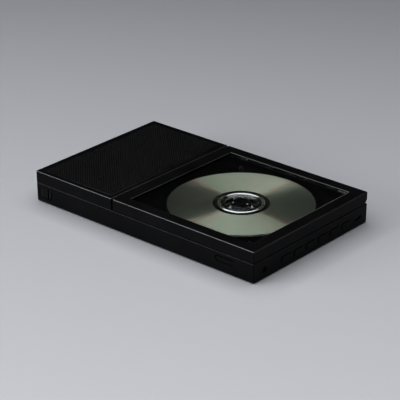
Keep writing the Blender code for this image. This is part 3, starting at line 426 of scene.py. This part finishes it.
def lid_frame():
    """The lid. The wall of its opening and its inner edges below the pane's top get painted shade, a
    near-black plastic.
    """
    mesh = refined("lid_frame", CASE, 0.15 * MM, edge=LID_RIM_PAINTED_HIGHLIGHT).data
    mesh.materials.append(PAINTED_SHADE)
    outer_low, outer_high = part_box("lid_frame")
    low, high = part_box("lid_window")
    for face in mesh.polygons:
        x, y, z = face.center
        wall = abs(face.normal.z) < 0.15 and low.x < x < high.x and low.y < y < high.y
        inner_edge = (face.material_index == 1 and z < high.z and y < outer_high.y - LID_WALL
                      and outer_low.x + LID_WALL < x < outer_high.x - LID_WALL)
        if wall or inner_edge:
            face.material_index = THIRD


def case_pieces():
    lower_shell()
    refined("speaker_cover", CASE, 0.15 * MM, edge=CASE_RIM_PAINTED_HIGHLIGHT)
    lid_frame()
    refined("deck", DECK, 0.25 * MM)


HOLE_STEP = 1.3 * MM         # half the distance between two holes of a row, and the distance of the rows
HOLE_RADIUS = 0.6 * MM
GRILLE_BORDER = 0.7 * MM     # least width of the plate round its holes
GRILLE_CORNER = 1.7 * MM
GRILLE_GROWTH = 0.45 * MM    # how far the plate reaches beyond the CAD solid, to the rounded rim of its seat


def rounded_outline(low, high, radius, steps):
    """Points round a rectangle with rounded corners, counter-clockwise, as (x, y)."""
    centres = [(low.x + radius, low.y + radius), (high.x - radius, low.y + radius),
               (high.x - radius, high.y - radius), (low.x + radius, high.y - radius)]
    points = []
    for corner, (x, y) in enumerate(centres):
        for step in range(steps + 1):
            angle = math.radians(180 + 90 * corner + 90 * step / steps)
            points.append((x + radius * math.cos(angle), y + radius * math.sin(angle)))
    return points


def hole_cell(bm, below, above, x, y, z):
    """Faces round one eight-sided hole, between three grid points below it and three above it."""
    rim = []
    for k in range(8):
        angle = math.radians(45 * k)
        rim.append(bm.verts.new((x + HOLE_RADIUS * math.cos(angle), y + HOLE_RADIUS * math.sin(angle), z)))
    for corners in ((below[2], above[2], rim[0]), (above[2], rim[1], rim[0]),
                    (above[2], above[1], rim[2], rim[1]), (above[1], above[0], rim[3], rim[2]),
                    (above[0], rim[4], rim[3]),
                    (above[0], below[0], rim[4]), (below[0], rim[5], rim[4]),
                    (below[0], below[1], rim[6], rim[5]), (below[1], below[2], rim[7], rim[6]),
                    (below[2], rim[0], rim[7])):
        bm.faces.new(corners)


def grille():
    """The speaker panel: a thin plate with staggered rows of fine round holes inside a plain border."""
    low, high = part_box("speaker_grille")
    columns = int((high.x - low.x - 2 * GRILLE_BORDER) / HOLE_STEP / 2) * 2
    rows = int((high.y - low.y - 2 * GRILLE_BORDER) / HOLE_STEP)
    left = (low.x + high.x - columns * HOLE_STEP) / 2
    front = (low.y + high.y - rows * HOLE_STEP) / 2
    bm = bmesh.new()
    grid = [[bm.verts.new((left + i * HOLE_STEP, front + j * HOLE_STEP, high.z))
             for i in range(columns + 1)] for j in range(rows + 1)]
    for j in range(rows):
        shift = j % 2
        for i in range(shift, columns - 1, 2):
            hole_cell(bm, grid[j][i:i + 3], grid[j + 1][i:i + 3], left + (i + 1) * HOLE_STEP,
                      front + (j + 0.5) * HOLE_STEP, high.z)
        if shift:
            for i in (0, columns - 1):
                bm.faces.new((grid[j][i], grid[j][i + 1], grid[j + 1][i + 1], grid[j + 1][i]))
    grow = Vector((GRILLE_GROWTH, GRILLE_GROWTH, 0))
    outline = [bm.verts.new((x, y, high.z))
               for x, y in rounded_outline(low - grow, high + grow, GRILLE_CORNER, 4)]
    edges = [bm.edges.new((a, b)) for a, b in zip(outline, outline[1:] + outline[:1])]
    inner = (grid[0] + [row[-1] for row in grid[1:]] + grid[-1][-2::-1] + [row[0] for row in grid[-2:0:-1]])
    edges += [bm.edges.get((a, b)) for a, b in zip(inner, inner[1:] + inner[:1])]
    bmesh.ops.triangle_fill(bm, edges=edges, use_beauty=True, normal=(0, 0, 1))
    bmesh.ops.recalc_face_normals(bm, faces=bm.faces)
    if sum(face.normal.z for face in bm.faces) < 0:
        bmesh.ops.reverse_faces(bm, faces=bm.faces)
    made = piece("speaker_grille_look", bm, "case", GRILLE)
    depth = made.modifiers.new("plate", "SOLIDIFY")
    depth.thickness = high.z - low.z
    depth.offset = -1
    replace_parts(made, "speaker_grille")


PANE_COVERED = 0.85 * MM     # how far the pane reaches beyond the top of its opening
BEAD_WIDTH = 0.6 * MM
BEAD_HEIGHT = 0.3 * MM
BEAD_SUNK = 0.02 * MM        # from the lid's top down to the bead's
FRONT_BEAD_SUNK = 0.12 * MM  # how much lower it is along the front
BEAD_LIGHTENS = (-50 * MM, 40 * MM)      # from front to back, where its painted highlight goes from dark to light
BEAD_ENDS = (59.8 * MM, 60.3 * MM)       # where its painted highlight turns dark again


def bead_painted_highlight():
    """Polished plastic whose light colour is a painted highlight, lighter towards the back, and dark again at
    its back end.
    """
    look = Look("bead, painted highlight", (0.3, 0.3, 0.31), 0.3, Specular_IOR_Level=1.0)
    y = look.axes(look.place)[1]
    tone = look.math("MULTIPLY", look.span(y, 0, 1, *BEAD_LIGHTENS), look.span(y, 1, 0, *BEAD_ENDS))
    # Painted highlight: light grey, lighter towards the back
    body = look.mix(tone, (0.004, 0.004, 0.0045), (0.34, 0.34, 0.35))
    look.colour(look.mix(look.math("MULTIPLY", look.noise(3 * MM, 3), 0.4), body, (0.02, 0.02, 0.021)))
    look.roughness(look.span(look.noise(2 * MM, 3), 0.24, 0.34))
    look.bump(look.noise(0.3 * MM, 2), 0.0004 * MM)
    return look.material


def window():
    """The clear pane, and a polished plastic bead in the chamfer of its opening, along the front and right
    sides, whose colour is a painted highlight.
    """
    refined("lid_window", PANE, 0.2 * MM, 3)
    low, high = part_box("lid_window")
    middle = (low + high) / 2
    inset = PANE_COVERED + BEAD_WIDTH / 2
    width = high.x - low.x - 2 * PANE_COVERED
    depth = high.y - low.y - 2 * PANE_COVERED
    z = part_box("lid_frame")[1].z - BEAD_SUNK - BEAD_HEIGHT / 2
    bead = bmesh.new()
    block(bead, (middle.x, low.y + inset, z - FRONT_BEAD_SUNK), (width, BEAD_WIDTH, BEAD_HEIGHT), 3)
    block(bead, (high.x - inset, middle.y, z), (BEAD_WIDTH, depth, BEAD_HEIGHT), 3)
    piece("window_bead", bead, BODY_OF["lid_window"], bead_painted_highlight())


# ---------------------------------------------------------------- disc and spindle
PAINTED_FRINGE_ANGLE = 83            # degrees; one of the four faint reddish rays, a quarter turn apart, painted fringes at the edges of the lamps' reflection
STREAK_GREEN = (0.46, 0.60, 0.47)
STREAK_PEACH = (0.60, 0.54, 0.47)
PAINTED_FRINGE_RED = (0.60, 0.43, 0.36)
RING_NOISE = 3.5 * MM        # width of the faint rings on the disc
RIDGE = (17.5, 1.35, 0.62)   # stacking ridge, in mm: radius of its middle, half its width, its height
RIDGE_STEPS = 12
RELIEF = 0.05 * MM           # how far the disc's flats lie below its highest and above its lowest rims


def disc_material(name, colour, roughness, anisotropy, tints_and_painted_fringes=False):
    """Metallised disc: its grooves run round the middle, so highlights stretch along the radius. With
    tints_and_painted_fringes it gets random green and peach tints, and four reddish rays painted where the
    edges of the lamps' reflection fall.
    """
    look = Look(name, colour, roughness, 0.96 if tints_and_painted_fringes else 1.0, Anisotropic=anisotropy,
                Anisotropic_Rotation=0.25)
    tangent = look.node("ShaderNodeTangent", direction_type="RADIAL", axis="Z")
    look.link(tangent.outputs[0], look.shader.inputs["Tangent"])
    axis = centre_of("disc")
    offset = look.node("ShaderNodeVectorMath", operation="SUBTRACT")
    offset.inputs[1].default_value = (axis.x, axis.y, axis.z)
    look.link(look.place, offset.inputs[0])
    flat = look.node("ShaderNodeVectorMath", operation="MULTIPLY")
    flat.inputs[1].default_value = (1, 1, 0)
    look.link(offset.outputs[0], flat.inputs[0])
    length = look.node("ShaderNodeVectorMath", operation="LENGTH")
    look.link(flat.outputs[0], length.inputs[0])
    along = look.node("ShaderNodeCombineXYZ")
    look.link(length.outputs["Value"], along.inputs[0])
    rings = look.node("ShaderNodeTexNoise", noise_dimensions="3D")
    rings.inputs["Scale"].default_value = 1 / RING_NOISE
    rings.inputs["Detail"].default_value = 4
    look.link(along.outputs[0], rings.inputs["Vector"])
    tone = look.span(rings.outputs["Fac"], 0, 1)
    body = look.mix(tone, tuple(c * 0.95 for c in colour), tuple(c * 1.05 for c in colour))
    if tints_and_painted_fringes:
        rays = look.node("ShaderNodeVectorMath", operation="NORMALIZE")
        look.link(flat.outputs[0], rays.inputs[0])
        fan = look.node("ShaderNodeTexNoise", noise_dimensions="3D")
        fan.inputs["Scale"].default_value = 4.0
        fan.inputs["Detail"].default_value = 3
        look.link(rays.outputs[0], fan.inputs["Vector"])
        tint = look.mix(look.span(fan.outputs["Fac"], 0, 1, 0.35, 0.65), STREAK_GREEN, STREAK_PEACH)
        body = look.mix(0.35, body, tint)
        # Painted reflection: reddish fringes along four rays, where the edges of the lamps' reflection fall
        parts = look.axes(flat.outputs[0])
        turn = look.math("ARCTAN2", parts[1], parts[0])
        fringe = look.math("COSINE", look.math("MULTIPLY_ADD", turn, 4.0, -4 * math.radians(PAINTED_FRINGE_ANGLE)))
        body = look.mix(look.math("MULTIPLY", look.span(fringe, 0, 1, 0.975, 1.0), 0.8), body, PAINTED_FRINGE_RED)
    smear = look.noise(16 * MM, 5, (1, 1.8, 1))
    look.colour(look.mix(look.span(smear, 0, 0.25, 0.5, 0.8), body, tuple(c * 0.86 for c in colour)))
    look.roughness(look.span(smear, roughness, roughness + 0.03, 0.4, 0.8))
    return look.material


def disc():
    """A silver disc, turned from a profile of radius (mm), height and material, with its stacking ridge."""
    low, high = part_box("disc")
    centre = centre_of("disc")
    data = disc_material("disc data area", (0.52, 0.56, 0.46), 0.32, 1.0, True)
    ring = disc_material("disc stacking ring", (0.95, 0.96, 0.95), 0.14, 0.0)
    mirror = disc_material("disc mirror band", (0.17, 0.20, 0.16), 0.16, 0.6)
    clear = clear_plastic("disc polycarbonate", (0.86, 0.9, 0.88), 0.02, 1.58)
    edge = (high.x - centre.x) / MM
    top, upper, lower, bottom = high.z, high.z - RELIEF, low.z + RELIEF, low.z
    ridge = []
    for step in range(1, RIDGE_STEPS):
        turn = math.pi * step / RIDGE_STEPS
        ridge.append((RIDGE[0] - RIDGE[1] * math.cos(turn), upper + RIDGE[2] * MM * math.sin(turn), ring))
    profile = [
        (7.5, bottom + 0.2 * MM, clear), (7.5, top - 0.2 * MM, clear), (7.65, upper, clear),
        (13.3, upper, clear), (13.5, top + 0.08 * MM, clear), (13.7, upper, clear),
        (16.1, upper, ring), *ridge,
        (18.9, upper, mirror), (22.4, upper, mirror),
        (22.6, upper, data), (edge - 1.6, upper, data),
        (edge - 1.5, upper, clear), (edge - 0.3, upper, clear),
        (edge, top - 0.35 * MM, clear), (edge, bottom + 0.35 * MM, clear),
        (edge - 0.3, lower, clear), (edge - 1.5, lower, data),
        (22.5, lower, mirror), (17.6, lower, ring),
        (17.0, bottom, ring), (16.4, lower, clear)]
    kinds = [clear, ring, mirror, data]
    bm = ring_mesh([(radius * MM, height) for radius, height, kind in profile], 192, centre, closed=True)
    for face in bm.faces:
        face.material_index = kinds.index(profile[face.material_index][2])
    made = piece("disc_look", bm, "spindle", kinds, sharp=50)
    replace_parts(made, "disc")


def spindle():
    """The turntable with its three balls, the ring that the disc lies on, and a cap on its axle."""
    refined("turntable", TURNTABLE, 0.12 * MM, 2, 40)
    for number in (1, 2, 3):
        node = "hub_ball_%d" % number
        low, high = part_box(node)
        bm = bmesh.new()
        bmesh.ops.create_icosphere(bm, subdivisions=3, radius=(high.x - low.x) / 2,
                                   matrix=Matrix.Translation((low + high) / 2))
        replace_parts(piece(node + "_look", bm, "spindle", BRIGHT, 180), node)
    centre = centre_of("disc")
    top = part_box("disc")[0].z - 0.02 * MM
    pad = ring_mesh([(14.0 * MM, top - 0.2 * MM), (14.0 * MM, top - 0.06 * MM), (13.8 * MM, top),
                     (11.4 * MM, top), (11.2 * MM, top - 0.06 * MM), (11.2 * MM, top - 0.2 * MM)],
                    96, centre, closed=True)
    piece("turntable_pad", pad, "spindle", TURNTABLE)
    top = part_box("turntable")[1].z
    cap = ring_mesh([(0, top + 0.02 * MM), (2.4 * MM, top + 0.02 * MM), (2.55 * MM, top - 0.05 * MM),
                     (2.55 * MM, top - 0.5 * MM), (0, top - 0.5 * MM)], 48, centre)
    piece("hub_cap", cap, "spindle", TURNTABLE)


# ---------------------------------------------------------------- controls and ports
OPEN_UPPER = 1.6 * MM        # height of the open button's upper part
OPEN_LOWERED = 0.7 * MM      # how far that is lowered, so that a dark gap shows above it
OPEN_DROP = 0.2 * MM         # how far the rest of the button is
OPEN_FRONT = 0.15 * MM       # depth of the strip at its front that keeps the case's plastic
RIBS = 5                     # on the power knob
RIB_SIZE = (0.35 * MM, 0.24 * MM, 5.4 * MM)
RIB_STEP = 0.9 * MM
FIRST_RIB = 2.0 * MM         # from the knob's right end
JACK_RADIUS = 1.78 * MM
JACK_WALL = 0.1 * MM
JACK_START, JACK_END = 1.0 * MM, 5.0 * MM        # depths of its sleeve below the case's right side
CONTACTS = 12                # in each of two rows
CONTACT_SIZE = (1.6 * MM, 0.26 * MM, 0.05 * MM)
CONTACT_STEP = 0.5 * MM
CONTACT_HEIGHT = 0.36 * MM   # of a row above or below the port's middle
CONTACT_DEPTH = 2.6 * MM     # of the rows' middle behind the port's mouth


def open_button():
    """The open button, a little lower than its CAD solid, with painted shade on its faces in the gap above
    it.
    """
    mesh = refined("open_button", CASE, 0.2 * MM, 3).data
    low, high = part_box("open_button")
    for vert in mesh.vertices:
        vert.co.z -= OPEN_LOWERED if vert.co.z > high.z - OPEN_UPPER else OPEN_DROP
    mesh.update()
    mesh.materials.append(PAINTED_SHADE)
    for face in mesh.polygons:
        if face.normal.z > 0.5 and face.center.y > low.y + OPEN_FRONT:
            face.material_index = 1


def controls():
    for node in sorted(NODES):
        if node.startswith("button_"):
            refined(node, BUTTON, 0.3 * MM, 3)
    open_button()
    refined("power_knob", KNOB, 0.12 * MM, 2)
    low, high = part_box("power_knob")
    ribs = bmesh.new()
    for rib in range(RIBS):
        block(ribs, (high.x - FIRST_RIB - RIB_STEP * rib, low.y, (low.z + high.z) / 2), RIB_SIZE, 2)
    piece("power_knob_ridges", ribs, "power_slide", KNOB)


def ports():
    """The headphone jack with its metal sleeve, and the USB port with its contacts."""
    refined("headphone_jack", BUTTON, 0.1 * MM, 2)
    refined("usb_port", BLACKENED, 0.06 * MM, 2)
    low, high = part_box("headphone_jack")
    mouth = Vector((high.x, (low.y + high.y) / 2, centre_of("button_play").z))
    sleeve = ring_mesh([(JACK_RADIUS, -JACK_START), (JACK_RADIUS, -JACK_END),
                        (JACK_RADIUS - JACK_WALL, -JACK_END),
                        (JACK_RADIUS - JACK_WALL, -JACK_START - 0.2 * MM)], 40, (0, 0), closed=True)
    bmesh.ops.transform(sleeve, matrix=Matrix.Translation(mouth) @ Matrix.Rotation(math.pi / 2, 4, "Y"),
                        verts=sleeve.verts)
    piece("jack_sleeve", sleeve, "case", BLACKENED)
    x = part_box("usb_port")[1].x - CONTACT_DEPTH
    centre = centre_of("usb_port")
    contacts = bmesh.new()
    for number in range(CONTACTS):
        y = centre.y + (number - (CONTACTS - 1) / 2) * CONTACT_STEP
        for side in (-1, 1):
            block(contacts, (x, y, centre.z + side * CONTACT_HEIGHT), CONTACT_SIZE)
    piece("usb_contacts", contacts, "case", GOLD)


# ---------------------------------------------------------------- underside
CROSS = (2.7 * MM, 0.55 * MM)    # length and width of the recess in a screw's head


def screw_heads():
    """The case screws: pan heads with a cross recess, and plain shanks."""
    for number in range(1, 8):
        node = "case_screw_%d" % number
        low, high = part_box(node)
        centre = (low + high) / 2
        radius = (high.x - low.x) / 2
        z = low.z
        bm = ring_mesh([(0, z + 0.35 * MM), (0.35 * MM, z + 0.35 * MM), (0.9 * MM, z),
                        (radius - 0.35 * MM, z), (radius, z + 0.3 * MM), (radius, z + 0.62 * MM),
                        (1.0 * MM, z + 0.62 * MM), (1.0 * MM, high.z - 0.9 * MM), (0, high.z)], 32, centre)
        head = piece(node + "_look", bm, "case", ZINC)
        for size in (CROSS, CROSS[::-1]):
            cutter = bmesh.new()
            block(cutter, (centre.x, centre.y, z), (*size, 0.8 * MM))
            cut(head, cutter)
        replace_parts(head, node)


def cut(target, bm):
    """Cut the solid in bm out of target, at once, so that no cutter stays in the scene."""
    mesh = bpy.data.meshes.new("cutter")
    bm.to_mesh(mesh)
    bm.free()
    tool = bpy.data.objects.new("cutter", mesh)
    PIECES.objects.link(tool)
    modifier = target.modifiers.new("cut", "BOOLEAN")
    modifier.operation = "DIFFERENCE"
    modifier.object = tool
    bpy.context.view_layer.update()
    done = bpy.data.meshes.new_from_object(target.evaluated_get(bpy.context.evaluated_depsgraph_get()))
    target.modifiers.clear()
    target.data = done
    bpy.data.objects.remove(tool)


def feet():
    """Rubber feet with a slightly rounded lower rim."""
    for number in range(1, 5):
        node = "foot_%d" % number
        low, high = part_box(node)
        radius = (high.x - low.x) / 2
        bm = ring_mesh([(0, high.z), (radius, high.z), (radius, low.z + 0.3 * MM),
                        (radius - 0.12 * MM, low.z + 0.1 * MM), (radius - 0.4 * MM, low.z), (0, low.z)],
                       64, centre_of(node))
        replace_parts(piece(node + "_look", bm, "case", SOLE), node)


# ---------------------------------------------------------------- mechanism and inside
def coil_spring():
    """The open button's return spring, a coil of round wire."""
    low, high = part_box("latch_spring")
    centre = (low + high) / 2
    wire = 0.22 * MM
    radius = (high.x - low.x) / 2 - wire
    turns, per_turn = 6, 20
    curve = bpy.data.curves.new("latch_spring_look", "CURVE")
    curve.dimensions = "3D"
    curve.bevel_depth = wire
    curve.bevel_resolution = 3
    curve.use_fill_caps = True
    spline = curve.splines.new("POLY")
    spline.points.add(turns * per_turn)
    length = high.y - low.y - 2 * wire
    for i, point in enumerate(spline.points):
        angle = 2 * math.pi * i / per_turn
        point.co = (centre.x + radius * math.cos(angle), low.y + wire + length * i / (turns * per_turn),
                    centre.z + radius * math.sin(angle), 1)
    coil = bpy.data.objects.new("coil", curve)
    PIECES.objects.link(coil)
    bpy.context.view_layer.update()
    mesh = bpy.data.meshes.new_from_object(coil)
    bpy.data.objects.remove(coil)
    made = bpy.data.objects.new("latch_spring_look", mesh)
    PIECES.objects.link(made)
    mesh.materials.clear()
    mesh.materials.append(BRIGHT)
    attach(made, "case")
    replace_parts(made, "latch_spring")
    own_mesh(made)


def lead_screw():
    """A one-start thread on the pickup's feed screw."""
    low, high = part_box("lead_screw")
    centre = (low + high) / 2
    outer = (high.z - low.z) / 2
    pitch, around, per_turn = 3.0 * MM, 16, 12
    plain_end = 3 * MM
    length = high.x - low.x
    rings = round(length / pitch * per_turn)
    bm = bmesh.new()
    loops = []
    for ring in range(rings + 1):
        along = length * ring / rings
        plain = along < plain_end or along > length - plain_end
        loop = []
        for step in range(around):
            angle = 2 * math.pi * step / around
            wave = 0.5 + 0.5 * math.cos(angle - 2 * math.pi * along / pitch)
            radius = outer * 0.8 if plain else outer * (0.72 + 0.28 * min(1, 1.6 * wave))
            loop.append(bm.verts.new((low.x + along, centre.y + radius * math.cos(angle),
                                      centre.z + radius * math.sin(angle))))
        loops.append(loop)
    for a, b in zip(loops, loops[1:]):
        for step in range(around):
            after = (step + 1) % around
            bm.faces.new((a[step], a[after], b[after], b[step]))
    bm.faces.new(loops[0][::-1])
    bm.faces.new(loops[-1])
    bmesh.ops.recalc_face_normals(bm, faces=bm.faces)
    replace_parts(piece("lead_screw_look", bm, "feed_screw", BRIGHT, 60), "lead_screw")


def inside():
    looks = {
        "chassis": STEEL, "pickup_sled": CREAM, "latch_hook": CREAM,
        "spindle_motor": ZINC, "sled_motor": ZINC,
        "guide_rod_front": BRIGHT, "guide_rod_back": BRIGHT,
        "hinge_pin_left": BRIGHT, "hinge_pin_right": BRIGHT,
        "main_board": BOARD, "key_board": BOARD, "battery": FOIL,
        "power_switch": ZINC, "objective_lens": LENS,
    }
    for side in ("front", "back"):
        looks["speaker_basket_" + side] = BLACKENED
        looks["speaker_magnet_" + side] = ZINC
        looks["speaker_cone_" + side] = PAPER
    for number in range(1, 5):
        looks["damper_%d" % number] = DAMPER
    for node, material in looks.items():
        refined(node, material, 0.1 * MM)
    coil_spring()
    lead_screw()


case_pieces()
grille()
window()
disc()
spindle()
controls()
ports()
screw_heads()
feet()
inside()


# ---------------------------------------------------------------- studio
# Painted shade: the floor goes from the near to the far colour, darker away from the camera
FLOOR_NEAR = (0.74, 0.745, 0.77)
FLOOR_FAR = (0.275, 0.28, 0.298)
FLOOR_DIRECTION = (-0.62, 0.78, 0)       # away from the camera
FLOOR_FADE = (-0.45, 0.75)               # metres along it, from the near to the far colour
FLOOR_SIZE = 8.0


def floor():
    """A pale plain floor with painted shade: darker away from the camera, where less lamp light falls."""
    look = Look("studio floor", (0.5, 0.505, 0.525), 0.75, Specular_IOR_Level=0.25)
    along = look.node("ShaderNodeVectorMath", operation="DOT_PRODUCT")
    along.inputs[1].default_value = FLOOR_DIRECTION
    look.link(look.place, along.inputs[0])
    shade = look.mix(look.span(along.outputs["Value"], 0, 1, *FLOOR_FADE), FLOOR_NEAR, FLOOR_FAR)
    look.colour(look.mix(look.math("MULTIPLY", look.span(look.noise(0.9, 2), 0, 1), 0.05), shade,
                         (0.40, 0.405, 0.42)))
    look.bump(look.noise(1.2 * MM, 3), 0.02 * MM)
    bm = bmesh.new()
    bmesh.ops.create_grid(bm, x_segments=8, y_segments=8, size=FLOOR_SIZE)
    mesh = bpy.data.meshes.new("studio_floor")
    bm.to_mesh(mesh)
    bm.free()
    mesh.materials.append(look.material)
    made = bpy.data.objects.new("studio_floor", mesh)
    bpy.context.scene.collection.objects.link(made)


def lamp(name, place, size, power, aim, colour):
    data = bpy.data.lights.new(name, "AREA")
    data.shape = "RECTANGLE"
    data.size, data.size_y = size
    data.energy = power
    data.color = colour
    made = bpy.data.objects.new(name, data)
    made.location = place
    made.rotation_euler = (Vector(aim) - Vector(place)).to_track_quat("-Z", "Y").to_euler()
    bpy.context.scene.collection.objects.link(made)


SOFTBOX_HEIGHT = 1.6         # over the disc; the lamps' sides below are in units of it
RADIANCE = 3.03
FILL_POWER = 26


def panel_lamp(name, low_x, high_x, low_y, high_y, strength, colour):
    """A lamp facing down, strength times as bright as the softbox."""
    low = Vector((low_x, low_y, 1)) * SOFTBOX_HEIGHT + centre_of("disc")
    high = Vector((high_x, high_y, 1)) * SOFTBOX_HEIGHT + centre_of("disc")
    middle = (low + high) / 2
    size = (high.x - low.x, high.y - low.y)
    lamp(name, middle, size, RADIANCE * strength * size[0] * size[1], (middle.x, middle.y, 0), colour)


def lights():
    panel_lamp("softbox", -0.905, 0.75, -1.4, 0.74, 1.0, (0.97, 0.985, 1.0))
    panel_lamp("softbox left side", -0.965, -0.80, -1.3, 0.65, 2.2, (1.0, 0.96, 0.94))
    panel_lamp("softbox back side", -0.905, 0.7, 0.70, 0.78, 2.0, (1.0, 0.97, 0.94))
    lamp("front fill", (-1.1, -2.2, 0.7), (2.2, 1.0), FILL_POWER, (0, 0, 0), (0.98, 0.99, 1.0))
    world = bpy.data.worlds.new("studio")
    world.use_nodes = True
    bpy.context.scene.world = world
    tree = world.node_tree
    room = tree.nodes["Background"]
    room.inputs["Color"].default_value = (0.9, 0.94, 1.0, 1)
    room.inputs["Strength"].default_value = 0.02
    seen = tree.nodes.new("ShaderNodeBackground")
    seen.inputs["Color"].default_value = (0.42, 0.43, 0.45, 1)
    rays = tree.nodes.new("ShaderNodeLightPath")
    mixer = tree.nodes.new("ShaderNodeMixShader")
    tree.links.new(rays.outputs["Is Camera Ray"], mixer.inputs[0])
    tree.links.new(room.outputs[0], mixer.inputs[1])
    tree.links.new(seen.outputs[0], mixer.inputs[2])
    tree.links.new(mixer.outputs[0], tree.nodes["World Output"].inputs["Surface"])


def camera():
    """A long lens that looks down at the object from its front right."""
    azimuth, elevation, roll = math.radians(41.02), math.radians(24.77), math.radians(-0.13)
    target = Vector((-13.3, 15.58, 0.5)) * MM
    distance = 1.3804
    back = Vector((math.sin(azimuth) * math.cos(elevation), -math.cos(azimuth) * math.cos(elevation),
                   math.sin(elevation)))
    data = bpy.data.cameras.new("camera")
    data.lens = 152.2
    data.sensor_width = 36.0
    data.clip_start, data.clip_end = 0.05, 50
    made = bpy.data.objects.new("camera", data)
    made.location = target + back * distance
    made.rotation_euler = ((-back).to_track_quat("-Z", "Y").to_matrix()
                           @ Matrix.Rotation(roll, 3, "Z")).to_euler()
    bpy.context.scene.collection.objects.link(made)
    bpy.context.scene.camera = made


floor()
lights()
camera()
bpy.context.scene.view_settings.view_transform = "Standard"
bpy.context.scene.view_settings.look = "High Contrast"
